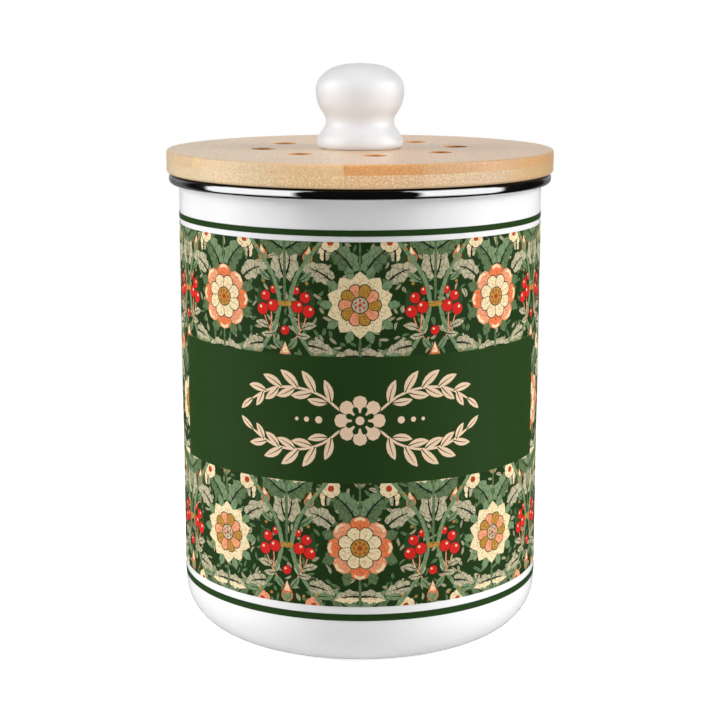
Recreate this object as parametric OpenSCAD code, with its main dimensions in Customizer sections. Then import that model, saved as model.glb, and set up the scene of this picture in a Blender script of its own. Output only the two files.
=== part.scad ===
// Round countertop compost caddy: a drawn steel can with a printed band and a
// polished rim, closed by a vented bamboo plug lid with a white knob and a
// carbon filter underneath. Frame: origin at the centre of the base, +Z up,
// -Y towards the viewer, +X to the viewer's right. Millimetres.

/* [Can] */
// Outside diameter of the can
body_d = 154.8; // [150:0.2:158]
// Height of the can to the top of its steel rim
body_h = 197.7; // [150:0.1:230]
// Thickness of the enamelled sheet
wall = 0.8; // [0.6:0.1:1.0]
// Outside radius where the wall turns into the base
corner_r = 19.5; // [12:0.5:26]
// Depth of the recess pressed into the base
kick = 1.4; // [0.6:0.1:2.5]

/* [Rim band] */
// Outside diameter of the polished rim band
rim_d = 163.2; // [161:0.2:164]
// Height of the band's outer bead
rim_h = 4.2; // [3.8:0.1:5]
// Radius of the bead's rounded edges
rim_round = 1.7; // [1:0.1:1.8]
// Sheet thickness of the band
rim_t = 0.6; // [0.4:0.1:0.7]

/* [Printed band] */
// Height of the lower edge of the print above the base
print_low = 22.5; // [21:0.5:40]
// Height of the upper edge of the print below the top of the rim
print_drop = 16.1; // [10:0.1:30]
// Width of the upper border stripe
high_stripe_w = 2.4; // [1:0.1:5]
// Width of the lower border stripe
low_stripe_w = 2.8; // [1:0.1:5]
// White gap under the upper border stripe
high_gap = 2.2; // [0:0.1:6]
// White gap over the lower border stripe
low_gap = 3.2; // [0:0.1:6]
// Width of the butt joint of the transfer at the back
print_joint = 0.5; // [0.2:0.1:1]
// Thickness of the fired print film
film_t = 0.12; // [0.08:0.02:0.16]

/* [Lid board] */
// Diameter of the bamboo board
lid_d = 165.0; // [164:0.2:168]
// Thickness of the upper bamboo ply
upper_t = 4.3; // [3.6:0.1:6]
// Thickness of the lower bamboo ply
lower_t = 5.4; // [5:0.1:7]
// Number of vent holes
vent_n = 8; // [4:1:10]
// Diameter of a vent hole
vent_d = 10.3; // [6:0.1:10.4]
// Radius of the ring of vent holes
vent_ring_r = 41.5; // [38:0.5:43]
// Turn of the ring of vent holes in degrees
vent_turn = 8.5; // [0:0.5:45]

/* [Plug and seal] */
// Outside diameter of the bamboo plug ring
plug_d = 147.0; // [145:0.2:147.4]
// Height of the plug ring
plug_h = 12.0; // [11.6:0.1:14]
// Outside diameter over the lips of the silicone seal
seal_d = 151.2; // [150.4:0.1:151.2]

/* [Knob] */
// Scale of the knob's width about its own profile
knob_wide = 1.0; // [0.9:0.01:1.05]
// Scale of the knob's height about its own profile
knob_tall = 1.0; // [0.9:0.01:1.15]

/* [Filter] */
// Diameter of the carbon filter disc
filter_d = 110.0; // [106:0.5:110.4]
// Thickness of the carbon filter disc
filter_t = 8.0; // [6:0.2:8]
// Diameter of one hole in the filter cup's floor
grille_hole_d = 5.0; // [3:0.5:6]

/* [Hidden] */
$fn = 96;
eps = 0.01;
body_r = body_d / 2;
inner_r = body_r - wall;
flat_r = body_r - corner_r;          // outer edge of the flat foot
recess_r = flat_r - 9;               // outer edge of the pressed recess
wall_top = body_h - rim_t - 0.2;     // the raw edge of the wall inside the rim band
rim_r = rim_d / 2;
rim_low = body_h - rim_h;            // underside of the rim band
rim_in_r = inner_r - 0.05 - rim_t;   // the band's face inside the mouth
seat_gap = 0.2;                      // from the rim to the underside of the lid
print_high = body_h - print_drop;
lid_z = body_h + seat_gap;           // underside of the lid board
lid_r = lid_d / 2;
seam_z = lid_z + lower_t;            // glue line between the two plies
lid_top = seam_z + upper_t;
plug_r = plug_d / 2;
plug_low = lid_z - plug_h;
plug_in_r = 60;
groove_low = plug_low + 3.6;         // seal groove in the plug's outside
groove_high = groove_low + 5.2;
groove_r = plug_r - 2.6;
seal_r = seal_d / 2;
post_d = 4.0;                        // thread diameter of the knob screw
socket_r = plug_in_r - 0.4;
socket_in_r = 57.7;
socket_low = lid_z - 8.0;
web_t = 1.5;                         // the socket's top web, which takes the screws
web_in_r = 50.5;
screw_ring_r = 54.0;
cup_r = socket_in_r - 0.35;
cup_in_r = 55.6;
cup_floor = plug_low - 1.9;          // underside of the filter cup
filter_low = cup_floor + 1.25;
cup_top = lid_z - web_t - 2.6;

// points of an arc about [cx, cy], from angle a0 to a1 in degrees
function arc(cx, cy, r, a0, a1, n = 8) =
    [for (i = [0:n]) let (a = a0 + (a1 - a0) * i / n) [cx + r * cos(a), cy + r * sin(a)]];

// one coordinate of a Catmull-Rom curve between b and c
function cr(a, b, c, d, t) =
    0.5 * ((2 * b) + (c - a) * t + (2 * a - 5 * b + 4 * c - d) * t * t
           + (3 * b - a - 3 * c + d) * t * t * t);

// a smooth curve through the points of p, n steps a span
function smooth(p, n = 4) = let (m = len(p) - 1) concat(
    [for (i = [0:m - 1], k = [0:n - 1]) let (
        a = p[max(i - 1, 0)], b = p[i], c = p[i + 1], d = p[min(i + 2, m)], t = k / n)
        [max(0, cr(a[0], b[0], c[0], d[0], t)), cr(a[1], b[1], c[1], d[1], t)]],
    [p[m]]);

module lathe(points) { rotate_extrude($fn = 128) polygon(points); }

// a plain round ring with true cylindrical faces
module tube(r_out, r_in, z0, z1) {
    translate([0, 0, z0]) difference() {
        cylinder(r = r_out, h = z1 - z0);
        translate([0, 0, -1]) cylinder(r = r_in, h = z1 - z0 + 2);
    }
}

// the positions of the vent holes
module vents(z0, z1) {
    for (i = [0:vent_n - 1])
        rotate([0, 0, vent_turn + i * 360 / vent_n])
            translate([vent_ring_r, 0, z0]) cylinder(d = vent_d, h = z1 - z0, $fn = 48);
}

// one-piece drawn can: straight wall, wide base corner, pressed recess
module body_shell() {
    color("white") lathe(concat(
        [[0, kick], [recess_r - 2, kick], [recess_r + 0.5, kick * 0.5], [recess_r + 2, 0]],
        arc(flat_r, corner_r, corner_r, -90, 0, 20),
        [[body_r, wall_top], [inner_r, wall_top]],
        arc(flat_r, corner_r, corner_r - wall, 0, -90, 20),
        [[recess_r + 2.3, wall], [recess_r + 0.8, kick * 0.5 + wall],
         [recess_r - 1.7, kick + wall], [0, kick + wall]]));
}

// folded stainless band that covers the raw edge of the can's mouth
module rim_band() {
    b = rim_round;
    color("gainsboro") lathe(concat(
        [[rim_in_r, rim_low - 1.4]],
        arc(rim_in_r + 0.9, body_h - 0.9, 0.9, 180, 90, 5),
        arc(rim_r - b, body_h - b, b, 90, 0, 10),
        arc(rim_r - b, rim_low + b, b, 0, -90, 10),
        [[body_r + 0.05, rim_low], [body_r + 0.05, rim_low + rim_t],
         [rim_r - b, rim_low + rim_t]],
        arc(rim_r - b, rim_low + b, b - rim_t, -90, 0, 6),
        arc(rim_r - b, body_h - b, b - rim_t, 0, 90, 6),
        [[rim_in_r + rim_t, body_h - rim_t], [rim_in_r + rim_t, rim_low - 1.4]]));
}

// one band of thin printed film round the wall, butted at the back
module film(z0, z1) {
    difference() {
        tube(body_r + 0.02 + film_t, body_r + 0.02, z0, z1);
        translate([-print_joint / 2, body_r - 3, z0 - 1])
            cube([print_joint, 6, z1 - z0 + 2]);
    }
}

// plain stripe that borders the pictured band above
module upper_stripe() { color("darkgreen") film(print_high - high_stripe_w, print_high); }

// the pictured band of the transfer
module print_band() {
    color("darkolivegreen")
        film(print_low + low_stripe_w + low_gap, print_high - high_stripe_w - high_gap);
}

// plain stripe that borders the pictured band below
module lower_stripe() { color("darkgreen") film(print_low, print_low + low_stripe_w); }

// upper part of the laminated bamboo board, with an eased top edge
module lid_upper_ply() {
    color("burlywood") difference() {
        lathe(concat([[0, seam_z], [lid_r, seam_z]],
                     arc(lid_r - 1.0, lid_top - 1.0, 1.0, 0, 90, 6), [[0, lid_top]]));
        vents(lid_z, lid_top + 1);
        translate([0, 0, lid_z]) cylinder(d = post_d + 0.6, h = lid_top - lid_z + 1, $fn = 32);
    }
}

// lower part of the board: recess for the washer and screw head, pilot holes
module lid_lower_ply() {
    color("tan") difference() {
        lathe(concat([[0, lid_z]], arc(lid_r - 1.4, lid_z + 1.4, 1.4, -90, 0, 7),
                     [[lid_r, seam_z], [0, seam_z]]));
        vents(lid_z - 1, seam_z + 1);
        translate([0, 0, lid_z - 1]) cylinder(d = 14, h = 4.4, $fn = 48);
        translate([0, 0, lid_z]) cylinder(d = post_d + 0.6, h = lower_t + 1, $fn = 32);
        for (i = [0:3]) rotate([0, 0, 45 + i * 90])
            translate([screw_ring_r, 0, lid_z - 1]) cylinder(d = 3.1, h = 5, $fn = 32);
    }
}

// bamboo ring that enters the mouth, grooved outside for the seal
module plug_ring() {
    color("burlywood") lathe(concat(
        [[plug_in_r, lid_z - eps]],
        [[plug_in_r, plug_low + 0.8], [plug_in_r + 0.8, plug_low]],
        arc(plug_r - 1.5, plug_low + 1.5, 1.5, -90, 0, 5),
        [[plug_r, groove_low], [groove_r, groove_low], [groove_r, groove_high],
         [plug_r, groove_high], [plug_r, lid_z - eps]]));
}

// silicone ring with two soft lips that wipe the inside of the mouth
module seal_ring() {
    lip = seal_r;
    back = groove_r + 0.05;
    low = groove_low + 0.15;
    high = groove_high - 0.15;
    mid = (low + high) / 2;
    color("whitesmoke") lathe(
        [[back, low], [plug_r - 0.2, low], [lip - 0.3, low + 0.9], [lip, low + 1.3],
         [lip - 0.5, low + 1.5], [plug_r + 0.1, mid - 0.3], [plug_r + 0.1, mid + 0.3],
         [lip - 0.5, high - 0.9], [lip, high - 0.5], [lip - 0.3, high - 0.2],
         [plug_r - 0.2, high], [back, high]]);
}

// turned knob: flared foot, waist and rounded head
module knob() {
    profile = smooth([[17.3, 0], [18.15, 0.9], [18.5, 2.6], [17.8, 4.9], [16.2, 7.4],
                      [14.9, 9.4], [14.45, 11.3], [14.95, 13.4], [16.3, 15.6],
                      [17.6, 17.9], [18.45, 20.7], [18.85, 23.9], [18.5, 27.0],
                      [17.2, 29.5], [14.6, 32.1], [11.0, 34.1], [6.0, 35.3], [0, 35.7]]);
    color("white") translate([0, 0, lid_top + 0.05]) difference() {
        lathe(concat([[0, 0]], [for (p = profile) [p[0] * knob_wide, p[1] * knob_tall]]));
        translate([0, 0, -1]) cylinder(d = 8.1, h = 16.2, $fn = 48);
    }
}

// brass insert bonded into the foot of the knob
module knob_insert() {
    color("goldenrod") translate([0, 0, lid_top + 0.15]) difference() {
        union() {
            cylinder(d = 7.6, h = 14.5, $fn = 48);
            for (z = [1, 5, 9]) translate([0, 0, z]) cylinder(d = 8.0, h = 2.6, $fn = 48);
        }
        translate([0, 0, -1]) cylinder(d = post_d + 0.1, h = 17, $fn = 48);
    }
}

// pan-head machine screw that holds the knob from below
module knob_screw() {
    color("silver") difference() {
        union() {
            translate([0, 0, lid_z + 0.2]) cylinder(d1 = 6.6, d2 = 8, h = 0.8, $fn = 48);
            translate([0, 0, lid_z + 1.0]) cylinder(d = 8, h = 1.55, $fn = 48);
            translate([0, 0, lid_z + 1.0]) cylinder(d = post_d, h = lid_top - lid_z + 10, $fn = 48);
        }
        // cross recess in the head
        for (a = [0, 90]) rotate([0, 0, a])
            translate([-2, -0.5, lid_z - 1]) cube([4, 1, 2.6]);
    }
}

// flat washer between the screw head and the board
module knob_washer() {
    color("silver") tube(6.0, post_d / 2 + 0.2, lid_z + 2.6, lid_z + 3.38);
}

// moulded ring screwed under the board, which grips the filter cup
module filter_socket() {
    color("gainsboro") difference() {
        union() {
            tube(socket_r, socket_in_r, socket_low, lid_z - 0.02);
            tube(socket_r, web_in_r, lid_z - web_t, lid_z - 0.02);
        }
        for (i = [0:3]) rotate([0, 0, 45 + i * 90])
            translate([screw_ring_r, 0, lid_z - 5]) cylinder(d = 3.2, h = 6, $fn = 32);
    }
}

// four pan-head wood screws through the socket's web into the board
module socket_screws() {
    color("silver") for (i = [0:3]) rotate([0, 0, 45 + i * 90])
        translate([screw_ring_r, 0, 0]) difference() {
            union() {
                translate([0, 0, lid_z - web_t - 1.7]) cylinder(d1 = 4.6, d2 = 5.6, h = 0.7, $fn = 32);
                translate([0, 0, lid_z - web_t - 1.0]) cylinder(d = 5.6, h = 0.98, $fn = 32);
                translate([0, 0, lid_z - web_t - 1.0]) cylinder(d = 3.0, h = web_t + 4.6, $fn = 32);
            }
            for (a = [0, 90]) rotate([0, 0, a])
                translate([-1.5, -0.35, lid_z - web_t - 3]) cube([3, 0.7, 2.4]);
        }
}

// push-fit cup with a pierced floor, a finger rim and a pull fin
module filter_cup() {
    color("gainsboro") difference() {
        union() {
            tube(cup_r, cup_in_r, cup_floor, cup_top);
            translate([0, 0, cup_floor]) cylinder(r = cup_r, h = 1.2);
            tube(62.5, cup_in_r, cup_floor, cup_floor + 1.4);
            // fin to pinch between finger and thumb
            translate([-13, -1.2, cup_floor - 7]) cube([26, 2.4, 7 + eps]);
            translate([-13, 0, cup_floor - 7]) rotate([0, 90, 0]) cylinder(r = 1.6, h = 26, $fn = 32);
        }
        // rings of holes in the floor
        for (ring = [[16, 8], [27, 14], [38, 20], [48.5, 26]])
            for (i = [0:ring[1] - 1]) rotate([0, 0, (i + 0.5) * 360 / ring[1]])
                translate([ring[0], 0, cup_floor - 1]) cylinder(d = grille_hole_d, h = 4, $fn = 24);
    }
}

// disc of activated carbon foam
module carbon_filter() {
    color("dimgray") translate([0, 0, filter_low]) cylinder(d = filter_d, h = filter_t);
}

body_shell();
rim_band();
upper_stripe();
print_band();
lower_stripe();
lid_upper_ply();
lid_lower_ply();
plug_ring();
seal_ring();
knob();
knob_insert();
knob_screw();
knob_washer();
filter_socket();
socket_screws();
filter_cup();
carbon_filter();
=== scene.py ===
"""A round countertop compost caddy: enamelled can, printed band, polished rim, bamboo plug lid with a white knob."""
import math

import bpy
import numpy as np
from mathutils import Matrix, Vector
from mathutils.geometry import delaunay_2d_cdt


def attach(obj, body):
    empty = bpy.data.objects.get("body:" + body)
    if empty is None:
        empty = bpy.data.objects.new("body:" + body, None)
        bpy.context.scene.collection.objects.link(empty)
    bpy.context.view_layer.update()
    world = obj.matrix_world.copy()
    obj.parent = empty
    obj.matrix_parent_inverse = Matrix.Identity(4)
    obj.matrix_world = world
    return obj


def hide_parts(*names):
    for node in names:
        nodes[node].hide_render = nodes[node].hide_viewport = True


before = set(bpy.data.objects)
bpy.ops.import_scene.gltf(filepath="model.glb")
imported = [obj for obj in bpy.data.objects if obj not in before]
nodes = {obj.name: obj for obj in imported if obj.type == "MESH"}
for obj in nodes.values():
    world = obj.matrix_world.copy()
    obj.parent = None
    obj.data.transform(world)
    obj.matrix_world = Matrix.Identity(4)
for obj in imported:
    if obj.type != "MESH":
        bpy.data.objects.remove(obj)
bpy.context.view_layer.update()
scene = bpy.context.scene
MM = 0.001


# ---------------------------------------------------------------- node helpers
def lin(r, g, b):
    """Display colour, 0 to 255, as a linear colour."""
    out = []
    for v in (r, g, b):
        v = v / 255
        out.append(v / 12.92 if v <= 0.04045 else ((v + 0.055) / 1.055) ** 2.4)
    return (*out, 1.0)


def shade(c, k):
    return (min(1.0, c[0] * k), min(1.0, c[1] * k), min(1.0, c[2] * k), 1.0)


class Tree:
    """Short hand for one node tree."""

    def __init__(self, owner):
        owner.use_nodes = True
        self.t = owner.node_tree
        self.t.nodes.clear()

    def add(self, kind, **sets):
        n = self.t.nodes.new("ShaderNode" + kind)
        for k, v in sets.items():
            setattr(n, k, v)
        return n

    def link(self, a, b):
        self.t.links.new(a, b)

    def feed(self, sock, v):
        if isinstance(v, bpy.types.NodeSocket):
            self.link(v, sock)
        elif v is not None:
            sock.default_value = v

    def math(self, op, a, b=None, c=None, clamp=False):
        n = self.add("Math", operation=op, use_clamp=clamp)
        for i, v in enumerate((a, b, c)):
            self.feed(n.inputs[i], v)
        return n.outputs[0]

    def vmath(self, op, a, b=None, scale=None):
        n = self.add("VectorMath", operation=op)
        self.feed(n.inputs[0], a)
        if b is not None:
            self.feed(n.inputs[1], b)
        if scale is not None:
            self.feed(n.inputs["Scale"], scale)
        return n.outputs[0]

    def step(self, v, a, b, lo=0.0, hi=1.0):
        """Smooth step: lo under a, hi over b."""
        n = self.add("MapRange", interpolation_type="SMOOTHSTEP")
        for i, x in enumerate((v, a, b, lo, hi)):
            self.feed(n.inputs[i], x)
        return n.outputs[0]

    def window(self, v, a, b, soft):
        return self.math("MULTIPLY", self.step(v, a - soft, a + soft), self.step(v, b - soft, b + soft, 1.0, 0.0))

    def mix(self, f, a, b, mode="MIX"):
        n = self.add("Mix", data_type="RGBA", blend_type=mode)
        self.feed(n.inputs[0], f)
        self.feed(n.inputs[6], a)
        self.feed(n.inputs[7], b)
        return n.outputs[2]

    def ramp(self, f, stops, interp="LINEAR"):
        n = self.add("ValToRGB")
        r = n.color_ramp
        r.interpolation = interp
        while len(r.elements) < len(stops):
            r.elements.new(0.5)
        for e, (pos, col) in zip(r.elements, stops):
            e.position = pos
            e.color = col if len(col) == 4 else (*col, 1.0)
        self.feed(n.inputs[0], f)
        return n.outputs[0]

    def noise(self, vec, scale, detail=2.0, rough=0.5, distort=0.0):
        n = self.add("TexNoise")
        self.feed(n.inputs["Vector"], vec)
        n.inputs["Scale"].default_value = scale
        n.inputs["Detail"].default_value = detail
        n.inputs["Roughness"].default_value = rough
        n.inputs["Distortion"].default_value = distort
        return n.outputs[0]

    def voronoi(self, vec, scale, feature="F1", out=0, scatter=1.0):
        n = self.add("TexVoronoi", feature=feature)
        self.feed(n.inputs["Vector"], vec)
        n.inputs["Scale"].default_value = scale
        n.inputs["Randomness"].default_value = scatter
        return n.outputs[out]

    def xyz(self, v):
        n = self.add("SeparateXYZ")
        self.feed(n.inputs[0], v)
        return n.outputs[0], n.outputs[1], n.outputs[2]

    def vec(self, x, y, z):
        n = self.add("CombineXYZ")
        for i, v in enumerate((x, y, z)):
            self.feed(n.inputs[i], v)
        return n.outputs[0]

    def bump(self, height, strength, distance, normal=None):
        n = self.add("Bump")
        n.inputs["Strength"].default_value = strength
        n.inputs["Distance"].default_value = distance
        self.feed(n.inputs["Height"], height)
        if normal is not None:
            self.feed(n.inputs["Normal"], normal)
        return n.outputs[0]


def surface(name, **values):
    """A material with one Principled shader, its uniform values set on its own sockets."""
    m = bpy.data.materials.new(name)
    t = Tree(m)
    out = t.add("OutputMaterial")
    b = t.add("BsdfPrincipled")
    t.link(b.outputs[0], out.inputs[0])
    for k, v in values.items():
        b.inputs[k.replace("_", " ")].default_value = v
    obj = t.add("TexCoord").outputs["Object"]
    return m, t, b, obj


def wear(node, material):
    o = nodes[node]
    o.data.materials.clear()
    o.data.materials.append(material)


# ---------------------------------------------------------------- camera
cam = bpy.data.objects.new("camera", bpy.data.cameras.new("camera"))
scene.collection.objects.link(cam)
cam.location = (0.0, -0.7492, 0.2653)
cam.rotation_euler = (math.radians(78.65), 0.0, 0.0)
cam.data.sensor_width = 36.0
cam.data.lens = 87.14
cam.data.clip_start, cam.data.clip_end = 0.01, 50.0
scene.camera = cam
scene.view_settings.view_transform = "Standard"
scene.view_settings.look = "None"


# ---------------------------------------------------------------- studio
BANDS = ((-33, 0), (0, 20), (20, 42), (42, 66))
BOXES = (
    (-102.5, -80, (2.0, 10.5, 10.0, 2.0)), (-80, -60, (2.0, 4.0, 6.0, 2.6)), (-60, -39, (0.7, 0.2, 0.2, 0.3)),
    (36, 58, (0.7, 0.2, 0.2, 0.3)), (58, 77, (2.0, 4.4, 6.4, 2.8)), (77, 95, (2.0, 14.0, 13.0, 2.4)),
)
REAR_LOW, REAR_HIGH, TOP = 0.3, 0.7, 0.0


def studio():
    """White walls for the camera. Two big softboxes at the sides light the object and show in its gloss."""
    w = bpy.data.worlds.new("studio")
    scene.world = w
    t = Tree(w)
    r = math.radians
    x, y, z = t.xyz(t.add("TexCoord").outputs["Generated"])
    az = t.math("ARCTAN2", x, t.math("MULTIPLY", y, -1.0))
    el = t.math("ARCSINE", z)
    total = 0.0
    for a0, a1, levels in BOXES:
        across = t.window(az, r(a0), r(a1), r(2.0))
        for (e0, e1), level in zip(BANDS, levels):
            patch = t.math("MULTIPLY", across, t.window(el, r(e0), r(e1), r(2.0)))
            total = t.math("MULTIPLY_ADD", patch, level, total)
    rear = t.math("SUBTRACT", 1.0, t.window(az, r(-120), r(150), r(3)))
    total = t.math("MULTIPLY_ADD", rear, t.step(el, r(-3), r(3), REAR_LOW, REAR_HIGH), total)
    total = t.math("ADD", total, t.step(el, r(60), r(72), 0.0, TOP))
    lit = t.add("Background")
    t.link(total, lit.inputs["Strength"])
    # what the gloss sees
    side = t.math("ADD", t.window(az, r(-102.5), r(-39), r(3.0)), t.window(az, r(36), r(93), r(3.0)))
    side = t.math("MULTIPLY", side, t.window(el, r(-30), r(62), r(6)))
    turned = t.math("ABSOLUTE", az)
    depth = t.math("ADD", t.step(turned, r(118), r(140), 0.0, 0.3), t.step(turned, r(150), r(176), 0.0, 0.5))
    depth = t.math("MULTIPLY", depth, t.step(az, r(95), r(100), 1.0, t.step(az, r(138), r(150), 0.03, 1.0)))
    wall = t.math("MULTIPLY", depth, t.step(el, r(-3), r(3), 0.6, 1.0))
    gloss = t.math("ADD", t.math("MULTIPLY_ADD", side, 1.5, wall), 0.006)
    gloss = t.math("ADD", gloss, t.step(el, r(58), r(80), 0.0, 0.5))
    shown = t.add("Background")
    t.link(gloss, shown.inputs["Strength"])
    white = t.add("Background")
    white.inputs["Strength"].default_value = 1.0
    white.inputs["Color"].default_value = (1.0, 1.0, 1.0, 1.0)
    path = t.add("LightPath")
    a = t.add("MixShader")
    t.link(path.outputs["Is Glossy Ray"], a.inputs[0])
    t.link(lit.outputs[0], a.inputs[1])
    t.link(shown.outputs[0], a.inputs[2])
    c = t.add("MixShader")
    t.link(path.outputs["Is Camera Ray"], c.inputs[0])
    t.link(a.outputs[0], c.inputs[1])
    t.link(white.outputs[0], c.inputs[2])
    t.link(c.outputs[0], t.add("OutputWorld").inputs[0])

    # a narrow soft light from the front for the knob and the lid
    lamp = bpy.data.lights.new("lid_light", "SPOT")
    lamp.energy, lamp.spot_size, lamp.spot_blend, lamp.shadow_soft_size = 2.2, math.radians(9.0), 0.9, 0.03
    o = bpy.data.objects.new("lid_light", lamp)
    scene.collection.objects.link(o)
    o.location = (0.0, -0.75, 0.56)
    o.rotation_euler = (Vector((0, 0, 0.232)) - o.location).to_track_quat("-Z", "Y").to_euler()
    o.visible_glossy = False
    # a low, very narrow one that reaches only the knob and the lid's front edge
    snoot = bpy.data.lights.new("knob_light", "SPOT")
    snoot.energy, snoot.spot_size, snoot.spot_blend, snoot.shadow_soft_size = 17.0, math.radians(4.9), 0.5, 0.02
    o = bpy.data.objects.new("knob_light", snoot)
    scene.collection.objects.link(o)
    o.location = (0.0, -0.8, 0.245)
    o.rotation_euler = (Vector((0, 0, 0.2265)) - o.location).to_track_quat("-Z", "Y").to_euler()
    o.visible_glossy = False
    top = bpy.data.lights.new("top_softbox", "AREA")
    top.shape, top.size, top.size_y, top.energy = "RECTANGLE", 0.9, 0.7, 0.6
    o = bpy.data.objects.new("top_softbox", top)
    scene.collection.objects.link(o)
    o.location = (0.0, -0.45, 1.35)
    o.rotation_euler = (Vector((0, 0, 0.1)) - o.location).to_track_quat("-Z", "Y").to_euler()
    o.visible_glossy = False

    # the floor that is seen, and the same floor as it throws light back
    floor = floor_disc("floor", -0.0002, 0.9, 0.72)
    floor.visible_diffuse = floor.visible_glossy = floor.visible_transmission = floor.visible_shadow = False
    under = floor_disc("floor_bounce", -0.0006, 0.82, 0.1)
    under.visible_camera = under.visible_glossy = False


def floor_disc(name, z, albedo, glow):
    rings, spokes, far = 12, 96, 0.52
    vs = [(0.0, 0.0, 0.0)]
    fs = []
    for i in range(1, rings + 1):
        rad = far * i / rings
        vs += [(rad * math.cos(2 * math.pi * k / spokes), rad * math.sin(2 * math.pi * k / spokes), 0.0) for k in range(spokes)]
    for k in range(spokes):
        fs.append((0, 1 + k, 1 + (k + 1) % spokes))
    for i in range(rings - 1):
        a, b = 1 + i * spokes, 1 + (i + 1) * spokes
        fs += [(a + k, b + k, b + (k + 1) % spokes, a + (k + 1) % spokes) for k in range(spokes)]
    me = bpy.data.meshes.new(name)
    me.from_pydata(vs, [], fs)
    floor = bpy.data.objects.new(name, me)
    scene.collection.objects.link(floor)
    floor.location.z = z
    m, t, b, p = surface(name + "_paper", Roughness=0.9, Emission_Strength=glow, Specular_IOR_Level=0.0)
    b.inputs["Emission Color"].default_value = (1, 1, 1, 1)
    t.link(t.mix(t.noise(p, 60.0, 4.0), (albedo - 0.02,) * 3 + (1,), (albedo + 0.02,) * 3 + (1,)), b.inputs["Base Color"])
    fx, fy, _ = t.xyz(p)
    rad = t.math("SQRT", t.math("ADD", t.math("MULTIPLY", fx, fx), t.math("MULTIPLY", fy, fy)))
    # seen from below it is clear, so that the underside can be looked at
    above = t.math("SUBTRACT", 1.0, t.add("NewGeometry").outputs["Backfacing"])
    t.link(t.math("MULTIPLY", t.step(rad, 0.36, 0.51, 1.0, 0.0), above), b.inputs["Alpha"])
    me.materials.append(m)
    return floor


studio()


# ---------------------------------------------------------------- materials
def enamel():
    m, t, b, p = surface("white_enamel", IOR=1.52)
    cloud = t.noise(p, 26.0, 3.0)
    t.link(t.mix(cloud, (0.855, 0.857, 0.86, 1), (0.89, 0.89, 0.888, 1)), b.inputs["Base Color"])
    t.link(t.step(t.noise(p, 140.0, 3.0), 0.3, 0.7, 0.14, 0.2), b.inputs["Roughness"])
    peel = t.noise(p, 420.0, 2.0)
    speck = t.step(t.voronoi(p, 150.0), 0.0, 0.05, 0.0, 1.0)
    n = t.bump(peel, 0.05, 0.00022)
    t.link(t.bump(speck, 0.05, 0.0001, n), b.inputs["Normal"])
    return m


def polished_steel():
    m, t, b, p = surface("polished_steel", Metallic=1.0)
    x, y, z = t.xyz(p)
    turnwise = t.math("MULTIPLY", t.math("ARCTAN2", x, y), 0.08)
    streaks = t.noise(t.vec(t.math("MULTIPLY", turnwise, 60.0), t.math("MULTIPLY", z, 9000.0), 0.0), 1.0, 3.0)
    _, _, up = t.xyz(t.add("NewGeometry").outputs["Normal"])
    metal = t.mix(streaks, (0.72, 0.72, 0.73, 1), (0.80, 0.80, 0.81, 1))
    # painted shade: where the bead faces up under the lid its colour is painted near black, a painted contact shadow in
    # the gap that also hides the reflection of the lid's underside
    t.link(t.mix(t.step(up, 0.42, 0.68), metal, (0.035, 0.034, 0.034, 1)), b.inputs["Base Color"])
    t.link(t.step(t.noise(p, 220.0, 3.0), 0.3, 0.75, 0.04, 0.09), b.inputs["Roughness"])
    t.link(t.bump(streaks, 0.02, 0.00005), b.inputs["Normal"])
    return m


def stripe_ink():
    m, t, b, p = surface("stripe_ink", IOR=1.5, Specular_IOR_Level=0.035)
    f = t.noise(p, 1500.0, 2.0)
    t.link(t.mix(f, lin(35, 60, 25), lin(40, 66, 30)), b.inputs["Base Color"])
    t.link(t.step(t.noise(p, 160.0, 3.0), 0.3, 0.7, 0.36, 0.46), b.inputs["Roughness"])
    t.link(t.bump(t.noise(p, 420.0, 2.0), 0.05, 0.0002), b.inputs["Normal"])
    return m


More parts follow.
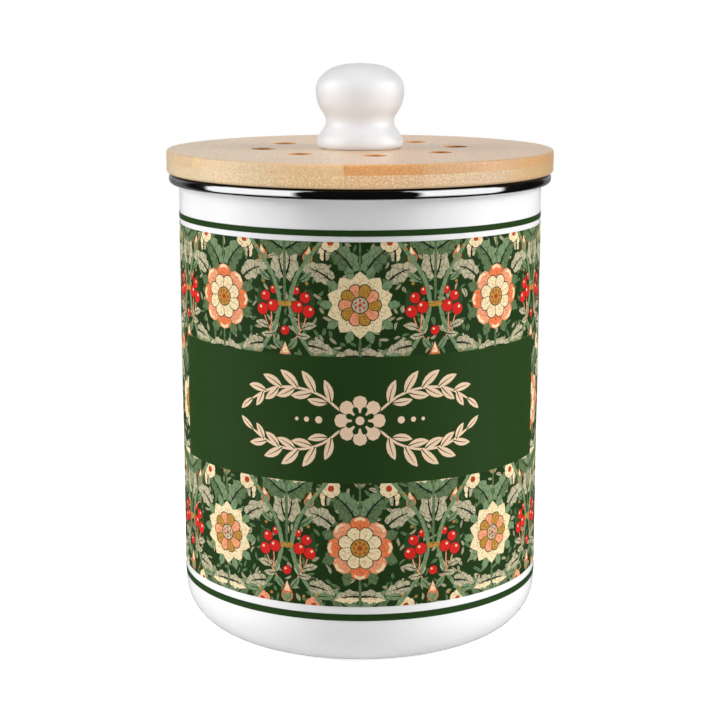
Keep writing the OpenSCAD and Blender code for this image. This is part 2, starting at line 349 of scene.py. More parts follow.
def ink(name, colour, mottle, work=None):
    """A printed flat ink with a fine linen-like unevenness. work is the block cutter's fine work in it: veins, dots or
    leaflets, with their spacing along and up in millimetres, their size, their colour and how strong they are."""
    m, t, b, p = surface("ink_" + name, IOR=1.5, Specular_IOR_Level=0.035)
    c = lin(*colour)
    x, y, z = t.xyz(p)
    around = t.math("MULTIPLY", t.math("ARCTAN2", x, t.math("MULTIPLY", y, -1.0)), 0.0774)
    warp = t.noise(t.vec(t.math("MULTIPLY", around, 2300.0), t.math("MULTIPLY", z, 700.0), 3.1), 1.0, 2.0)
    weft = t.noise(t.vec(t.math("MULTIPLY", around, 700.0), t.math("MULTIPLY", z, 2300.0), 7.7), 1.0, 2.0)
    weave = t.step(t.math("MULTIPLY", t.math("ADD", warp, weft), 0.5), 0.36, 0.64)
    patch = t.noise(p, 90.0, 3.0)
    base = t.mix(weave, shade(c, 1.0 - mottle), shade(c, 1.0 + 0.55 * mottle))
    base = t.mix(t.step(patch, 0.3, 0.8, 0.0, 0.15), base, shade(c, 1.0 - 0.9 * mottle))
    if work:
        kind, along, up, size, tone, strength = work
        bend = t.math("MULTIPLY", t.math("SUBTRACT", t.noise(t.vec(t.math("MULTIPLY", around, 160.0), t.math("MULTIPLY", z, 160.0), 1.7), 1.0, 1.0), 0.5), 5.0)
        u = t.math("DIVIDE", t.math("MULTIPLY_ADD", around, 1000.0, bend), along)
        v = t.math("DIVIDE", t.math("MULTIPLY_ADD", z, 1000.0, t.math("MULTIPLY", bend, -0.7)), up)
        cells = t.add("TexVoronoi", voronoi_dimensions="2D", feature="DISTANCE_TO_EDGE" if kind == "veins" else "F1")
        spot = t.vec(u, v, 0.0)
        t.link(spot, cells.inputs["Vector"])
        cells.inputs["Scale"].default_value = 1.0
        if kind == "veins":
            on = t.step(cells.outputs["Distance"], size * 0.6, size * 1.4, 1.0, 0.0)
        elif kind == "dots":
            on = t.step(cells.outputs["Distance"], size * 0.8, size * 1.2, 1.0, 0.0)
        else:
            du, dv, _ = t.xyz(t.vmath("SUBTRACT", spot, cells.outputs["Position"]))
            lot, other, _ = t.xyz(cells.outputs["Color"])
            angle = t.math("MULTIPLY", lot, 2.0 * math.pi)
            ca, sa = t.math("COSINE", angle), t.math("SINE", angle)
            lie = t.math("ADD", t.math("MULTIPLY", du, ca), t.math("MULTIPLY", dv, sa))
            off = t.math("ABSOLUTE", t.math("SUBTRACT", t.math("MULTIPLY", dv, ca), t.math("MULTIPLY", du, sa)))
            half = t.math("MULTIPLY", t.math("SUBTRACT", 1.0, t.math("MULTIPLY", t.math("MULTIPLY", lie, lie), 4.6)), size)
            on = t.step(t.math("SUBTRACT", half, off), -0.02, 0.03)
            on = t.math("MULTIPLY", on, t.step(off, 0.01, 0.035))
            tone = t.mix(t.step(other, 0.48, 0.54), lin(*tone), lin(190, 180, 148))
        if kind != "leaflets":
            tone = lin(*tone)
        base = t.mix(t.math("MULTIPLY", on, strength), base, tone)
    t.link(base, b.inputs["Base Color"])
    t.link(t.step(patch, 0.3, 0.7, 0.36, 0.46), b.inputs["Roughness"])
    t.link(t.bump(weave, 0.08, 0.00003, t.bump(t.noise(p, 420.0, 2.0), 0.04, 0.0002)), b.inputs["Normal"])
    return m


def bamboo(name, strips, bundle, dots_k, dot, seed, pale=0.45, hole=False, painted_right_shade=0.0):
    """Laminated bamboo as a solid texture: wide strips side by side with their fibres along Y, so the board shows long
    grain above and at its left and right, and fibre bundles as dots in front and behind. strips is (X where a strip
    starts, its colour), bundle the bundles' spacing in millimetres, dots_k how strongly they show on the end grain and
    pale how light it is between them. painted_right_shade is how much painted shade darkens the wood toward its right
    end."""
    m, t, b, p = surface(name, IOR=1.5, Coat_Weight=0.45, Coat_Roughness=0.22)
    mm = t.vmath("SCALE", p, scale=1000.0)
    x, y, z = t.xyz(mm)
    span = [(max(0.0, (x0 + 90.0) / 180.0), col) for x0, col in strips]
    place = t.math("DIVIDE", t.math("ADD", x, 90.0), 180.0)
    gx, gy, gz = t.xyz(t.add("NewGeometry").outputs["Normal"])
    end = t.step(t.math("ABSOLUTE", gy), 0.50, 0.97)
    painted_sheen_faces = t.step(t.math("ABSOLUTE", gz), 0.5, 0.9)
    # painted sheen: on the top and bottom faces the strips' tints are mostly painted over with one pale beige, standing
    # in for the sheen that evens the top
    tint = t.mix(t.math("MULTIPLY", painted_sheen_faces, 0.68), t.ramp(place, span, "CONSTANT"), lin(221, 189, 148))
    # painted shade: the tint is darkened toward the board's right end
    if painted_right_shade:
        tint = t.mix(t.step(x, 36.0, 56.0, 0.0, painted_right_shade), tint, (0.0, 0.0, 0.0, 1.0))
    key = t.ramp(place, [(pos, ((i * 0.37 + 0.11) % 1, (i * 0.61 + 0.3) % 1, (i * 0.83 + 0.5) % 1, 1.0)) for i, (pos, _) in enumerate(span)], "CONSTANT")
    shift = t.vmath("SCALE", key, scale=53.0 + seed)
    ka, kb, kc = t.xyz(key)
    flow = t.math("MULTIPLY", t.math("SUBTRACT", t.noise(t.vec(x, t.math("DIVIDE", y, 30.0), z), 0.05, 2.0), 0.5), 5.0)
    xs = t.math("ADD", x, flow)
    # bundles are long columns along Y
    cell = t.vmath("ADD", t.vec(t.math("DIVIDE", xs, bundle), t.math("DIVIDE", y, 120.0 * bundle), t.math("DIVIDE", z, bundle * 0.92)), shift)
    near = t.voronoi(cell, 1.0, scatter=0.8)
    dots = t.step(near, 0.18, 0.42, 1.0, 0.0)
    core = t.step(near, 0.10, 0.26, 1.0, 0.0)
    streak = t.noise(t.vmath("ADD", t.vec(xs, t.math("DIVIDE", y, 60.0), z), shift), 0.7, 4.0, 0.6)
    fine = t.noise(t.vmath("ADD", t.vec(t.math("MULTIPLY", xs, 3.0), t.math("DIVIDE", y, 14.0), t.math("MULTIPLY", z, 3.0)), shift), 1.0, 3.0, 0.6)
    broad = t.noise(t.vmath("ADD", t.vec(x, t.math("DIVIDE", y, 8.0), z), shift), 0.09, 2.0)
    wood = t.mix(t.step(streak, 0.3, 0.72), shade_socket(t, tint, 0.92), shade_socket(t, tint, 1.05))
    wood = t.mix(t.step(broad, 0.3, 0.75, 0.0, 0.3), wood, shade_socket(t, tint, 0.84))
    wood = t.mix(t.step(fine, 0.3, 0.8, 0.0, 0.22), wood, dot)
    wood = t.mix(t.math("MULTIPLY", dots, t.math("ADD", 0.10, t.math("MULTIPLY", end, dots_k))), wood, dot)
    wood = t.mix(t.math("MULTIPLY", core, t.math("MULTIPLY", end, 0.35 * dots_k)), wood, shade(dot, 0.7))
    # between the bundles the end grain is paler
    wood = t.mix(t.math("MULTIPLY", t.step(near, 0.5, 0.72), t.math("MULTIPLY", end, pale)), wood, lin(248, 228, 198))
    # a knuckle crosses each strip now and then, seen on the long grain only
    k = t.math("FRACT", t.math("ADD", t.math("DIVIDE", t.math("ADD", y, t.math("MULTIPLY", t.noise(mm, 0.3, 2.0), 2.0)), 168.0), ka))
    k = t.math("ABSOLUTE", t.math("SUBTRACT", k, 0.5))
    side = t.math("SUBTRACT", 1.0, end)
    wood = t.mix(t.math("MULTIPLY", t.step(k, 0.002, 0.02, 0.22, 0.0), side), wood, dot)
    # glue lines between the strips
    for x0, _ in strips[1:]:
        off = t.math("ABSOLUTE", t.math("SUBTRACT", x, x0))
        wood = t.mix(t.step(off, 0.04, 0.16, 0.28, 0.0), wood, shade(dot, 0.8))
    if hole:
        rad = t.math("SQRT", t.math("ADD", t.math("MULTIPLY", x, x), t.math("MULTIPLY", y, y)))
        cut = t.math("MULTIPLY", t.step(rad, 52.0, 55.0, 1.0, 0.0), t.step(t.math("ABSOLUTE", gz), 0.3, 0.7, 1.0, 0.0))
        wood = t.mix(t.math("MULTIPLY", cut, 0.8), wood, t.mix(t.step(fine, 0.3, 0.7), lin(222, 156, 84), lin(196, 124, 56)))
    t.link(wood, b.inputs["Base Color"])
    t.link(t.step(fine, 0.2, 0.8, 0.26, 0.38), b.inputs["Roughness"])
    t.link(t.bump(t.math("ADD", t.math("MULTIPLY", dots, -0.5), fine), 0.2, 0.00005), b.inputs["Normal"])
    return m


def shade_socket(t, sock, k):
    n = t.add("HueSaturation")
    n.inputs["Value"].default_value = k
    t.link(sock, n.inputs["Color"])
    return n.outputs[0]


def glaze():
    m, t, b, p = surface("knob_glaze", IOR=1.5, Subsurface_Weight=0.45, Subsurface_Scale=0.004)
    b.inputs["Subsurface Radius"].default_value = (1.0, 1.0, 1.0)
    t.link(t.mix(t.noise(p, 45.0, 3.0), (0.574, 0.577, 0.589, 1), (0.586, 0.591, 0.600, 1)), b.inputs["Base Color"])
    t.link(t.step(t.noise(p, 60.0, 2.0), 0.3, 0.7, 0.30, 0.34), b.inputs["Roughness"])
    t.link(t.bump(t.noise(p, 70.0, 1.0), 0.03, 0.00015), b.inputs["Normal"])
    return m


def silicone():
    m, t, b, p = surface("silicone", IOR=1.43, Subsurface_Weight=0.25, Subsurface_Scale=0.002)
    t.link(t.mix(t.noise(p, 60.0, 3.0), (0.74, 0.74, 0.72, 1), (0.8, 0.8, 0.785, 1)), b.inputs["Base Color"])
    t.link(t.step(t.noise(p, 700.0, 2.0), 0.3, 0.7, 0.42, 0.56), b.inputs["Roughness"])
    t.link(t.bump(t.noise(p, 900.0, 2.0), 0.1, 0.0001), b.inputs["Normal"])
    return m


def moulded(name, dark, light):
    m, t, b, p = surface(name, IOR=1.48)
    t.link(t.mix(t.noise(p, 50.0, 3.0), dark, light), b.inputs["Base Color"])
    grain = t.noise(p, 2600.0, 3.0, 0.65)
    t.link(t.step(grain, 0.3, 0.7, 0.42, 0.6), b.inputs["Roughness"])
    t.link(t.bump(grain, 0.22, 0.00008), b.inputs["Normal"])
    return m


def carbon_felt():
    m, t, b, p = surface("carbon_felt", Roughness=0.95, IOR=1.4, Sheen_Weight=0.3, Sheen_Roughness=0.5)
    fluff = t.noise(p, 1100.0, 5.0, 0.7, 1.2)
    clump = t.voronoi(p, 420.0)
    t.link(t.mix(t.step(fluff, 0.35, 0.75), (0.008, 0.008, 0.009, 1), (0.055, 0.055, 0.058, 1)), b.inputs["Base Color"])
    t.link(t.bump(t.math("ADD", fluff, t.math("MULTIPLY", clump, 0.5)), 0.8, 0.0006), b.inputs["Normal"])
    return m


def plated_steel():
    m, t, b, p = surface("plated_steel", Metallic=1.0)
    t.link(t.mix(t.noise(p, 260.0, 3.0), (0.5, 0.5, 0.51, 1), (0.66, 0.66, 0.65, 1)), b.inputs["Base Color"])
    t.link(t.step(t.noise(p, 900.0, 3.0), 0.3, 0.7, 0.24, 0.4), b.inputs["Roughness"])
    t.link(t.bump(t.noise(p, 1600.0, 2.0), 0.1, 0.00005), b.inputs["Normal"])
    return m


def turned_brass():
    m, t, b, p = surface("turned_brass", Metallic=1.0)
    _, _, z = t.xyz(p)
    rings = t.noise(t.vec(0.0, 0.0, t.math("MULTIPLY", z, 5000.0)), 1.0, 2.0)
    t.link(t.mix(rings, (0.60, 0.42, 0.16, 1), (0.74, 0.56, 0.26, 1)), b.inputs["Base Color"])
    t.link(t.step(t.noise(p, 500.0, 3.0), 0.3, 0.7, 0.24, 0.38), b.inputs["Roughness"])
    t.link(t.bump(rings, 0.15, 0.00005), b.inputs["Normal"])
    return m


DOT = lin(206, 138, 74)
wear("body_shell", enamel())
wear("rim_band", polished_steel())
stripes = stripe_ink()
wear("upper_stripe", stripes)
wear("lower_stripe", stripes)
UPPER = [(-90.0, lin(228, 200, 158)), (-68.0, lin(235, 206, 158)), (-37.0, lin(236, 200, 150)), (-6.9, lin(220, 159, 98)),
         (24.6, lin(223, 172, 117)), (55.0, lin(216, 171, 121))]
LOWER = [(-90.0, lin(229, 207, 168)), (-58.0, lin(236, 208, 160)), (-33.0, lin(240, 204, 151)), (-6.9, lin(231, 193, 148)),
         (24.6, lin(233, 200, 158)), (59.1, lin(236, 199, 148))]
INNER = [(-90.0, lin(234, 200, 152)), (-46.0, lin(228, 188, 136)), (-20.0, lin(238, 208, 160)), (9.0, lin(226, 180, 126)), (38.0, lin(236, 204, 156))]
wear("lid_upper_ply", bamboo("bamboo_upper", UPPER, 0.62, 0.3, lin(196, 120, 60), 3.0, pale=0.2, hole=True))
wear("lid_lower_ply", bamboo("bamboo_lower", LOWER, 0.72, 0.42, DOT, 11.0, pale=0.6, hole=True, painted_right_shade=0.22))
wear("plug_ring", bamboo("bamboo_plug", INNER, 1.3, 0.5, DOT, 7.0))
wear("knob", glaze())
wear("seal_ring", silicone())
plastic = moulded("filter_plastic", (0.60, 0.61, 0.60, 1), (0.68, 0.69, 0.68, 1))
wear("filter_socket", plastic)
wear("filter_cup", plastic)
wear("carbon_filter", carbon_felt())
plated = plated_steel()
for n in ("knob_screw", "knob_washer", "socket_screws"):
    wear(n, plated)
wear("knob_insert", turned_brass())

# ---------------------------------------------------------------- the printed transfer
# The pattern is an all-over ogee trellis of vines with open blossoms, drawn as flat inks.
# Shapes are (ink, outline) in millimetres: s along the wall, z up from the band's lower edge.
INKS = ["ground", "deep", "leaf", "sage", "beige", "cream", "peach", "orange", "red", "gold", "rust", "line"]
R_WALL = 77.4
ARC = 2 * math.pi * R_WALL
BAND_H = 148.5
CELLS = 8
HALF = ARC / CELLS / 2          # half the width of one ogee cell
RISE = 49.5                     # from a blossom's row to the next


def turn(points, a, ox=0.0, oz=0.0, k=1.0, flip=False):
    ca, sa = math.cos(a) * k, math.sin(a) * k
    out = [(ox + x * ca - z * sa, oz + x * sa + z * ca) for x, z in points]
    return [(2 * ox - x, z) for x, z in out] if flip else out


def spine(length, bend, n, start=0.0):
    """Points and headings along a curve that turns by bend over its length."""
    x = z = 0.0
    out = []
    for i in range(n + 1):
        h = start + bend * i / n
        out.append((x, z, h))
        x += math.cos(h + bend / n / 2) * length / n
        z += math.sin(h + bend / n / 2) * length / n
    return out


def side(sp, widths, sign):
    return [(x - sign * math.sin(h) * w, z + sign * math.cos(h) * w) for (x, z, h), w in zip(sp, widths)]


def blade(sp, widths):
    return side(sp, widths, 1) + side(sp, widths, -1)[::-1]


def leaf(length, width, bend=0.5, lobes=4, depth=0.42, inks=("sage", "leaf", "cream"), veins=True):
    """A lobed leaf along +x in two tones, with a midrib and side veins."""
    n = lobes * 3
    sp = spine(length, bend, n)
    w = []
    for i in range(n + 1):
        t = i / n
        env = math.sin(math.pi * min(1.0, 0.06 + 0.94 * t) ** 0.72) ** 0.75 if t < 1 else 0.0
        saw = ((t * lobes + 0.1) % 1.0)
        w.append(max(0.12, width * env * (1 - depth * (saw ** 1.6))))
    w[-1] = 0.02
    mid = [(x, z) for x, z, h in sp]
    if inks[0] == inks[1]:
        out = [(inks[0], blade(sp, w))]
    else:
        out = [(inks[0], mid + side(sp, w, 1)[::-1]), (inks[1], mid + side(sp, w, -1)[::-1])]
    if veins:
        m = sp[:-2:2]
        out.append((inks[2], blade(m, [0.38 * (1 - i / len(m)) + 0.1 for i in range(len(m))])))
        for j in range(lobes - 1):
            i = 3 * j + 1
            x, z, h = sp[i]
            for sgn in (1, -1):
                d = h + sgn * 0.75
                r = w[i + 1] * 0.86
                out.append((inks[2], [(x, z), (x + math.cos(h) * 0.62, z + math.sin(h) * 0.62),
                                      (x + math.cos(d) * r, z + math.sin(d) * r)]))
    return out


def plain_leaf(length, width, bend=0.3, ink="sage", rib=None, n=5):
    sp = spine(length, bend, n)
    w = [max(0.03, width * math.sin(math.pi * (0.04 + 0.94 * i / n)) ** 0.8) for i in range(n + 1)]
    out = [(ink, blade(sp, w))]
    if rib:
        out.append((rib, blade(sp[:-1], [0.2 * (1 - i / n) + 0.05 for i in range(n)])))
    return out


def disc(r, ink, x=0.0, z=0.0, n=12, squeeze=1.0):
    return (ink, [(x + r * math.cos(2 * math.pi * i / n), z + squeeze * r * math.sin(2 * math.pi * i / n)) for i in range(n)])


def petal(r0, r1, width, point=0.0):
    """A petal along +x from r0 to r1; point above 0 gives it a tip."""
    L = r1 - r0
    up = [(r0, width * 0.22), (r0 + 0.35 * L, width * 0.42), (r0 + 0.68 * L, width * 0.5),
          (r0 + 0.9 * L, width * (0.36 - 0.14 * point)), (r1 + 0.05 * L * point, 0.0)]
    return up + [(x, -z) for x, z in up[-2::-1]]


def ring(count, r0, r1, width, inks, streak=None, tip=None, turn0=0.0, point=0.0, edge=None, fine=3):
    out = []
    for i in range(count):
        a = turn0 + 2 * math.pi * i / count
        if edge:
            out.append((edge, turn(petal(r0 - 0.1, r1 + 0.38, width + 0.62, point), a)))
        out.append((inks[i % len(inks)], turn(petal(r0, r1, width, point), a)))
        L = r1 - r0
        if tip:
            out.append((tip, turn([(r0 + 0.74 * L, width * 0.3), (r0 + 0.9 * L, width * 0.24), (r1 - 0.03 * L, 0),
                                   (r0 + 0.9 * L, -width * 0.24), (r0 + 0.74 * L, -width * 0.3), (r0 + 0.84 * L, 0)], a)))
        if streak:
            for o in (-0.16, 0.0, 0.16) if fine == 3 else (0.0,):
                out.append((streak, turn([(r0 + 0.06 * L, o * width * 0.5), (r0 + (0.62 - abs(o)) * L, o * width * 1.5 + 0.12),
                                          (r0 + (0.62 - abs(o)) * L, o * width * 1.5 - 0.12)], a)))
    return out


def blossom(kind):
    """An open blossom about 26 mm across, symmetrical about the vertical."""
    up = math.pi / 2
    if kind == "a":
        out = ring(8, 10.0, 16.4, 4.4, ["leaf"], turn0=up + math.pi / 8, point=1.0)
        out += ring(8, 4.4, 13.4, 8.0, ["orange", "peach"], streak="rust", tip="cream", turn0=up)
        out += ring(8, 2.6, 9.0, 5.2, ["cream"], streak="orange", turn0=up + math.pi / 8, edge="line", fine=1)
        out += [disc(4.0, "line", n=16), disc(3.6, "gold", n=16)]
        out += [disc(0.55, "rust", 2.4 * math.cos(up + math.pi * i / 4), 2.4 * math.sin(up + math.pi * i / 4), 6) for i in range(8)]
        out += [disc(1.1, "rust", n=8)]
    elif kind == "b":
        out = ring(10, 10.0, 15.8, 3.6, ["sage"], turn0=up + math.pi / 10, point=1.0)
        out += ring(10, 4.0, 13.0, 6.6, ["cream"], streak="gold", turn0=up, point=0.8)
        out += ring(10, 2.4, 8.4, 4.4, ["peach", "gold"], streak="rust", turn0=up + math.pi / 10, edge="line", fine=1)
        out += [disc(3.5, "line", n=16), disc(3.1, "beige", n=16)]
        out += [disc(0.5, "red", 1.9 * math.cos(up + math.pi * i / 3), 1.9 * math.sin(up + math.pi * i / 3), 6) for i in range(6)]
        out += [disc(0.7, "red", n=6)]
    else:
        out = ring(6, 3.0, 12.6, 3.6, ["sage"], turn0=up + math.pi / 6, point=1.0)
        out += ring(6, 2.6, 11.6, 8.6, ["cream"], streak="peach", turn0=up)
        out += ring(6, 2.0, 6.4, 4.6, ["gold"], streak="rust", turn0=up + math.pi / 6, edge="line", fine=1)
        out += [disc(2.6, "line", n=14), disc(2.2, "orange", n=14), disc(1.0, "cream", n=8)]
    return out


def daisy(r, ink="cream", heart="rust", count=6):
    out = [disc(r + 0.3, "line", n=12)]
    out += [(ink, turn(petal(0.3 * r, r, r * 0.86), math.pi / 2 + 2 * math.pi * i / count)) for i in range(count)]
    return out + [disc(0.34 * r, heart, n=8)]


def berry(r, x=0.0, z=0.0):
    return [disc(r + 0.28, "line", x, z, 10), disc(r, "red", x, z, 10),
            disc(r * 0.26, "cream", x - r * 0.32, z + r * 0.34, 5)]


def bud(length, width, ink="orange", tip="cream"):
    sp = spine(length, 0.0, 6)
    w = [width * v for v in (0.55, 0.95, 1.0, 0.82, 0.55, 0.28, 0.03)]
    out = [("line", blade(sp, [v + 0.3 for v in w]))]
    out += [(ink, blade(sp, w)), (tip, blade(sp[3:], [v * 0.62 for v in w[3:]]))]
    out += [("sage", turn(petal(-0.8, length * 0.5, width * 0.9, 1.0), a)) for a in (0.45, -0.45)]
    return out


def vine(path, width, ink, light=None):
    """A ribbon along smoothed points."""
    pts = []
    for i in range(len(path) - 1):
        p0, p1, p2, p3 = path[max(i - 1, 0)], path[i], path[i + 1], path[min(i + 2, len(path) - 1)]
        for j in range(3):
            t = j / 3
            pts.append(tuple(0.5 * ((2 * b) + (c - a) * t + (2 * a - 5 * b + 4 * c - d) * t * t + (3 * b - a - 3 * c + d) * t ** 3)
                             for a, b, c, d in zip(p0, p1, p2, p3)))
    pts.append(path[-1])
    sp = []
    for i, (x, z) in enumerate(pts):
        xa, za = pts[max(i - 1, 0)]
        xb, zb = pts[min(i + 1, len(pts) - 1)]
        sp.append((x, z, math.atan2(zb - za, xb - xa)))
    n = len(sp) - 1
    ws = [width * (0.5 if i in (0, n) else 1.0) / 2 for i in range(n + 1)]
    out = [(ink, blade(sp, ws))]
    if light:
        out.append((light, blade(side_spine(sp, width * 0.16), [w * 0.32 for w in ws])))
    return out


def side_spine(sp, off):
    return [(x - math.sin(h) * off, z + math.cos(h) * off, h) for x, z, h in sp]


def put(shapes, x, z, deg=0.0, k=1.0):
    return [(ink, turn(p, math.radians(deg), x, z, k)) for ink, p in shapes]


def bound(w):
    """Half-width of the ogee cell at height w from its blossom."""
    return HALF / 2 + (HALF / 2 - 2.2) * math.cos(math.pi * w / RISE)


def half_cell(kind):
    """What fills the right half of one ogee cell, with the blossom at (0, 0)."""
    out = []
    # under everything: quiet dark foliage
    for x, z, a, L in ((15, -17, 15, 10), (20, -6, 80, 12), (16, 12, 60, 13), (5, 16, 25, 13), (3, -44, 60, 8)):
        out += put(plain_leaf(L, L * 0.2, 0.5, "deep", n=4), x, z, a)
    # the vine that bounds the cell
    ws = [-RISE + i * RISE / 5 for i in range(11)]
    out += vine([(bound(w), w) for w in ws], 1.6, "sage")
    # leaves from the stalk under the blossom
    out += put(leaf(14.0, 4.4, 0.75, 3, inks=("beige", "beige", "line")), 0.2, -39, 62)
    out += put(leaf(16.0, 5.2, 0.8, 4, inks=("sage", "leaf", "line")), 0.4, -28, 22)
    out += put(leaf(10.5, 3.2, -0.6, 3, inks=("beige", "cream", "line")), 0.4, -20.5, 8)
    out += put(plain_leaf(6.5, 1.4, 0.6, "sage", "line", 4), 6.2, -40.5, 20)
    # a berry spray inside the vine
    bx = bound(-8)
    out += vine([(bx - 0.5, -14), (bx - 3.6, -9.5), (bx - 5.4, -4.5)], 0.5, "peach")
    out += vine([(bx - 2.7, -11), (bx - 2.0, -7.0), (bx - 2.2, -3.5)], 0.5, "peach")
    out += put(plain_leaf(6.4, 1.5, 0.5, "beige", "line", 4), bx - 3.2, -10, 150)
    out += put(plain_leaf(5.6, 1.3, -0.4, "beige", "line", 4), bx - 1.2, -12.5, 196)
    out += berry(2.5, bx - 6.1, -2.9) + berry(2.5, bx - 1.5, -1.3) + berry(2.2, bx - 4.7, 2.5)
    out += berry(1.7, bx - 0.9, 5.2)
    out += put(leaf(11.0, 3.4, 0.5, 3, inks=("beige", "beige", "line")), bound(-17) - 0.8, -16.6, 183)
    out += put(plain_leaf(7.0, 1.6, 0.5, "sage", "line", 4), bound(-21) - 0.6, -21, 168)
    # leaves above the blossom
    out += put(leaf(16.0, 4.9, -0.85, 4, inks=("sage", "leaf", "line")), 2.5, 13, 66)
    out += put(leaf(14.0, 4.2, -0.9, 3, inks=("beige", "beige", "line")), 11.3, 9.5, 46)
    out += put(leaf(10.0, 2.6, 0.7, 3, inks=("beige", "cream", "line")), 13.8, 17.5, 84)
    out += put(daisy(3.9, "cream" if kind != "c" else "peach"), 11.6, 24.6)
    out += put(plain_leaf(6.4, 1.4, 0.4, "sage", "line", 4), 1.2, 31, 40)
    out += put(plain_leaf(6.0, 1.4, -0.4, "beige", "line", 4), bound(37) - 0.4, 37, 118)
    out += put(plain_leaf(6.0, 1.4, 0.4, "beige", "line", 4), bound(31) + 0.2, 31, 52)
    out += put(bud(6.6, 2.1, "orange"), bound(16) - 1.0, 16.5, 100)
    # small gold seeds that fill the ground
    for x, z in ((17.5, -20.5), (12.6, -27.4), (21.0, 8.2), (7.2, 28.2)):
        out.append(disc(0.7, "gold", x, z, 6))
    return out


def middle(kind):
    """What stands on the cell's own axis."""
    out = vine([(0, -RISE), (0, -30), (0, -12)], 1.2, "leaf")
    out += put(bud(8.5, 2.6, "peach" if kind == "a" else "orange"), 0, 25.5, 90)
    out += vine([(0, 12), (0, 26)], 0.9, "leaf")
    out += berry(1.9, 0, 38.6)
    out += put([("gold", [(-2.6, -1.1), (2.6, -1.1), (3.0, 0), (2.6, 1.1), (-2.6, 1.1), (-3.0, 0)])], 0, RISE - 0.2)
    return out + blossom(kind)


def sprig(h, v):
    """One leafy sprig of the panel's plain ornament: h and v choose left or right, upper or lower."""
    path = [(7.5, 3.6), (15, 9.6), (25, 12.6), (36, 11.6), (46, 6.2)]
    out = vine(path, 1.0, "panel_ink")
    for i, (x, z, up, dn) in enumerate(((11.5, 7.2, 84, -2), (18, 11.0, 68, -20), (25, 12.6, 52, -36), (32, 12.4, 38, -52), (39, 10.2, 22, -72))):
        L = (9.4, 10.0, 10.0, 9.4, 8.4)[i]
        out += put(plain_leaf(L, L * 0.19, -0.35, "panel_ink", "panel"), x, z, up)
        out += put(plain_leaf(L * 0.86, L * 0.17, 0.35, "panel_ink", "panel"), x + 1.5, z - 0.2, dn)
    out += put(plain_leaf(7.6, 1.3, -0.2, "panel_ink", "panel"), 45.6, 6.4, -34)
    return [(ink, [(h * x, v * z) for x, z in p]) for ink, p in out]


def panel_ornament(z0):
    out = []
    for h in (1, -1):
        for v in (1, -1):
            out += sprig(h, v)
        out += [disc(1.5, "panel_ink", h * 16.5, 0, 10), disc(1.1, "panel_ink", h * 21.5, 0, 8), disc(0.8, "panel_ink", h * 25.6, 0, 8)]
    out += ring(8, 3.2, 10.2, 5.6, ["panel_ink"], turn0=math.pi / 2, edge="panel")
    out += ring(8, 2.2, 6.0, 2.4, ["panel"], turn0=math.pi / 8)
    out += [disc(2.4, "panel", n=14), disc(1.8, "panel_ink", n=12)]
    return [(ink, [(x, z + z0) for x, z in p]) for ink, p in out]


def all_shapes():
    """Every shape of the band, in painting order, before the band's edges cut it."""
    out = []
    halves = {k: half_cell(k) for k in "abc"}
    middles = {k: middle(k) for k in "abc"}
    rows = ((-1, "bc"), (0, "ab"), (1, "ca"), (2, "ba"), (3, "ca"))
    cells = []
    for row, kinds in rows:
        z0 = RISE / 2 + row * RISE
        shift = HALF if row % 2 else 0.0
        for k in range(-CELLS // 2, CELLS // 2 + 1):
            cells.append((shift + 2 * HALF * k, z0, kinds[abs(k) % 2]))
    reach = ARC / 2 + HALF
    cells = [c for c in cells if abs(c[0]) <= reach]
    for s0, z0, kind in cells:
        for ink, p in halves[kind]:
            for sgn in (1, -1):
                out.append((ink, [(s0 + sgn * x, z0 + z) for x, z in p]))
    for s0, z0, kind in cells:
        out += [(ink, [(s0 + x, z0 + z) for x, z in p]) for ink, p in middles[kind]]
    return out

# ---------------------------------------------------------------- the film as one closed skin
INK_COLOURS = {
    "ground": (33, 56, 24), "deep": (52, 78, 42), "leaf": (98, 120, 82), "sage": (123, 146, 107), "beige": (194, 185, 153),
    "cream": (238, 220, 176), "peach": (240, 162, 120), "orange": (236, 128, 78), "red": (216, 42, 36), "gold": (190, 142, 62),
    "rust": (178, 66, 34), "line": (32, 42, 34), "panel": (39, 64, 28), "panel_ink": (240, 210, 178),
}
FINE = {
    "ground": ("leaflets", 4.1, 4.1, 0.15, (104, 130, 88), 0.95), "deep": ("veins", 1.8, 2.8, 0.07, (38, 62, 30), 0.5),
    "leaf": ("veins", 2.0, 3.6, 0.07, (40, 64, 36), 0.5), "sage": ("veins", 2.2, 4.2, 0.07, (52, 80, 48), 0.42),
    "beige": ("veins", 1.9, 3.8, 0.08, (66, 78, 54), 0.5), "cream": ("dots", 1.7, 1.7, 0.19, (196, 112, 62), 0.5),
    "peach": ("veins", 1.7, 2.2, 0.07, (196, 84, 48), 0.45), "orange": ("veins", 1.6, 2.2, 0.07, (170, 58, 30), 0.45),
    "gold": ("veins", 1.5, 1.7, 0.07, (104, 70, 26), 0.5),
}
MOTTLE = {"ground": 0.05, "panel": 0.05, "line": 0.05, "deep": 0.10, "red": 0.10, "panel_ink": 0.05}
PANEL_W, PANEL_LOW, PANEL_HIGH = 93.3, 51.6, 103.2


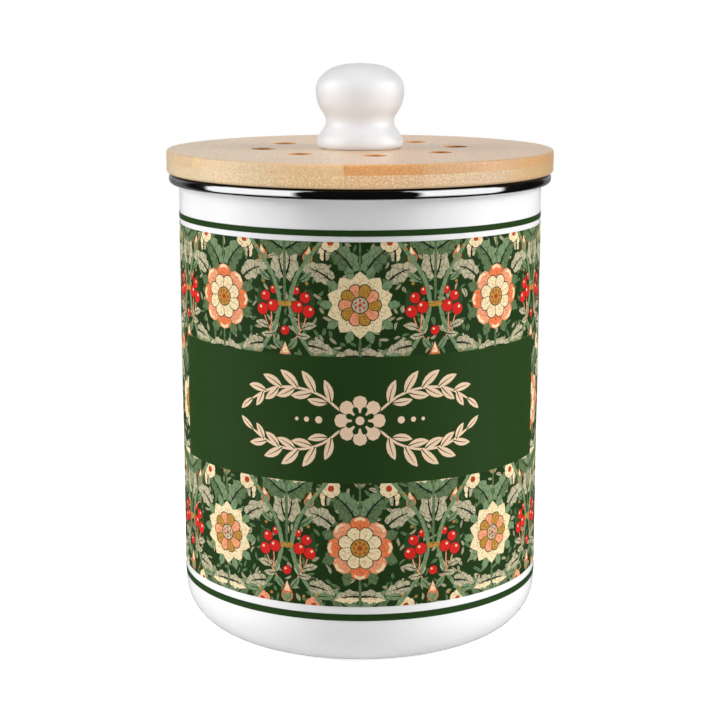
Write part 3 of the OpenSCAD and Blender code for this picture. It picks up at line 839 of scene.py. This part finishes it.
def printed_transfer():
    lim = ARC / 2 - 0.25
    names = list(INK_COLOURS)
    step = math.radians(4.0) * R_WALL
    count = int(math.ceil(lim / step))
    grid = [lim * i / count for i in range(-count, count + 1)]
    coords = [Vector((s, 0.0)) for s in grid] + [Vector((s, BAND_H)) for s in reversed(grid)]
    n = len(grid)
    edges = [(i, 2 * n - 1 - i) for i in range(1, n - 1)]
    faces = [list(range(2 * n))]
    inks = [names.index("ground")]
    shapes = all_shapes()
    shapes.append(("panel", [(-PANEL_W, PANEL_LOW), (PANEL_W, PANEL_LOW), (PANEL_W, PANEL_HIGH), (-PANEL_W, PANEL_HIGH)]))
    shapes += panel_ornament((PANEL_LOW + PANEL_HIGH) / 2)
    first_over = len(shapes)
    for i, (name, p) in enumerate(shapes):
        if name == "panel" and len(p) == 4 and abs(p[0][0]) == PANEL_W:
            first_over = i
    for i, (name, p) in enumerate(shapes):
        if max(z for _, z in p) < 0 or min(z for _, z in p) > BAND_H or min(abs(s) for s, _ in p) > lim:
            continue
        if i < first_over and all(abs(s) < PANEL_W - 0.5 and PANEL_LOW + 0.5 < z < PANEL_HIGH - 0.5 for s, z in p):
            continue  # wholly under the plain panel
        area = sum(a[0] * b[1] - b[0] * a[1] for a, b in zip(p, p[1:] + p[:1]))
        if abs(area) < 1e-4:
            continue
        if area < 0:
            p = p[::-1]
        k = len(coords)
        coords += [Vector(q) for q in p]
        faces.append(list(range(k, k + len(p))))
        inks.append(names.index(name))
    flat, _, tris, _, _, owners = delaunay_2d_cdt(coords, edges, faces, 1, 1e-4, True)
    keep = [(t, max(o)) for t, o in zip(tris, owners) if 0 in o and len(t) == 3]
    used = sorted({i for t, _ in keep for i in t})
    new = {i: k for k, i in enumerate(used)}
    flat = np.array([tuple(flat[i]) for i in used])
    tris = np.array([[new[i] for i in t] for t, _ in keep])
    tri_ink = np.array([inks[o] for _, o in keep])
    # the rectangle's edge as one loop
    low = [i for i in np.argsort(flat[:, 0]) if flat[i, 1] < 1e-6]
    high = [i for i in np.argsort(-flat[:, 0]) if flat[i, 1] > BAND_H - 1e-6]
    right = [i for i in np.argsort(flat[:, 1]) if flat[i, 0] > lim - 1e-6 and 1e-6 <= flat[i, 1] <= BAND_H - 1e-6]
    left = [i for i in np.argsort(-flat[:, 1]) if flat[i, 0] < -lim + 1e-6 and 1e-6 <= flat[i, 1] <= BAND_H - 1e-6]
    loop = low + right + high + left
    rim = [Vector(flat[i]) for i in loop]
    at = {round(float(flat[i, 0]), 4): k for k, i in enumerate(loop) if flat[i, 1] < 1e-6}
    top_at = {round(float(flat[i, 0]), 4): k for k, i in enumerate(loop) if flat[i, 1] > BAND_H - 1e-6}
    cross = [(at[round(s, 4)], top_at[round(s, 4)]) for s in grid[1:-1] if round(s, 4) in at and round(s, 4) in top_at]
    back, _, btris, ov, _, _ = delaunay_2d_cdt(rim, cross, [list(range(len(rim)))], 1, 1e-6, True)
    source = {k: (o[0] if o else None) for k, o in enumerate(ov)}
    nf = len(flat)
    base = 0.0285
    r_out, r_in = R_WALL + 0.14, R_WALL + 0.07
    ang = flat[:, 0] / R_WALL
    outer = np.stack([r_out * np.sin(ang), -r_out * np.cos(ang), flat[:, 1]], 1) * MM
    rflat = np.array([tuple(v) for v in rim])
    rang = rflat[:, 0] / R_WALL
    inner = np.stack([r_in * np.sin(rang), -r_in * np.cos(rang), rflat[:, 1]], 1) * MM
    verts = np.concatenate([outer, inner])
    verts[:, 2] += base
    ground = names.index("ground")
    polys = [tuple(t) for t in tris]
    mats = list(tri_ink)
    kinds = [0] * len(polys)
    for t in btris:
        if len(t) == 3 and all(source[i] is not None for i in t):
            polys.append(tuple(nf + source[i] for i in t[::-1]))
            mats.append(ground)
            kinds.append(1)
    m = len(loop)
    for k in range(m):
        a, c = loop[k], loop[(k + 1) % m]
        polys.append((a, nf + k, nf + (k + 1) % m, c))
        mats.append(ground)
        kinds.append(2)
    me = bpy.data.meshes.new("printed_transfer")
    me.from_pydata([tuple(v) for v in verts], [], [tuple(int(i) for i in p) for p in polys])
    for name in names:
        me.materials.append(ink(name, INK_COLOURS[name], MOTTLE.get(name, 0.13), FINE.get(name)))
    me.polygons.foreach_set("material_index", np.array(mats, np.int32))
    me.polygons.foreach_set("use_smooth", np.ones(len(polys), bool))
    # normals as on the true cylinder
    starts = np.zeros(len(me.loops), np.int32)
    me.loops.foreach_get("vertex_index", starts)
    totals = np.zeros(len(polys), np.int32)
    me.polygons.foreach_get("loop_total", totals)
    kind_of = np.repeat(np.array(kinds), totals)
    radial = verts[starts] * np.array([1, 1, 0])
    radial /= np.linalg.norm(radial, axis=1)[:, None]
    fn = np.zeros(len(polys) * 3)
    me.polygons.foreach_get("normal", fn)
    flat_n = np.repeat(fn.reshape(-1, 3), totals, axis=0)
    normal = np.where((kind_of == 0)[:, None], radial, np.where((kind_of == 1)[:, None], -radial, flat_n))
    me.normals_split_custom_set(normal.tolist())
    # the wall unrolled, front above and back below
    uv = me.uv_layers.new(name="OFBake")
    s_all = np.concatenate([flat[:, 0], rflat[:, 0]])[starts] / ARC * 0.98 + 0.5
    z_all = np.concatenate([flat[:, 1], rflat[:, 1]])[starts] / ARC * 0.98
    put_v = np.select([kind_of == 0, kind_of == 1], [z_all + 0.01, z_all + 0.34], z_all * 0.01 + 0.68 + 0.02 * (z_all > 0.1))
    uv.data.foreach_set("uv", np.stack([s_all, put_v], 1).astype(np.float32).ravel())
    me.validate()
    o = bpy.data.objects.new("printed_transfer", me)
    scene.collection.objects.link(o)
    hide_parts("print_band")
    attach(o, "can")
    print("transfer:", len(verts), "vertices,", len(polys), "faces,", len(btris), "behind")
    return o


transfer = printed_transfer()
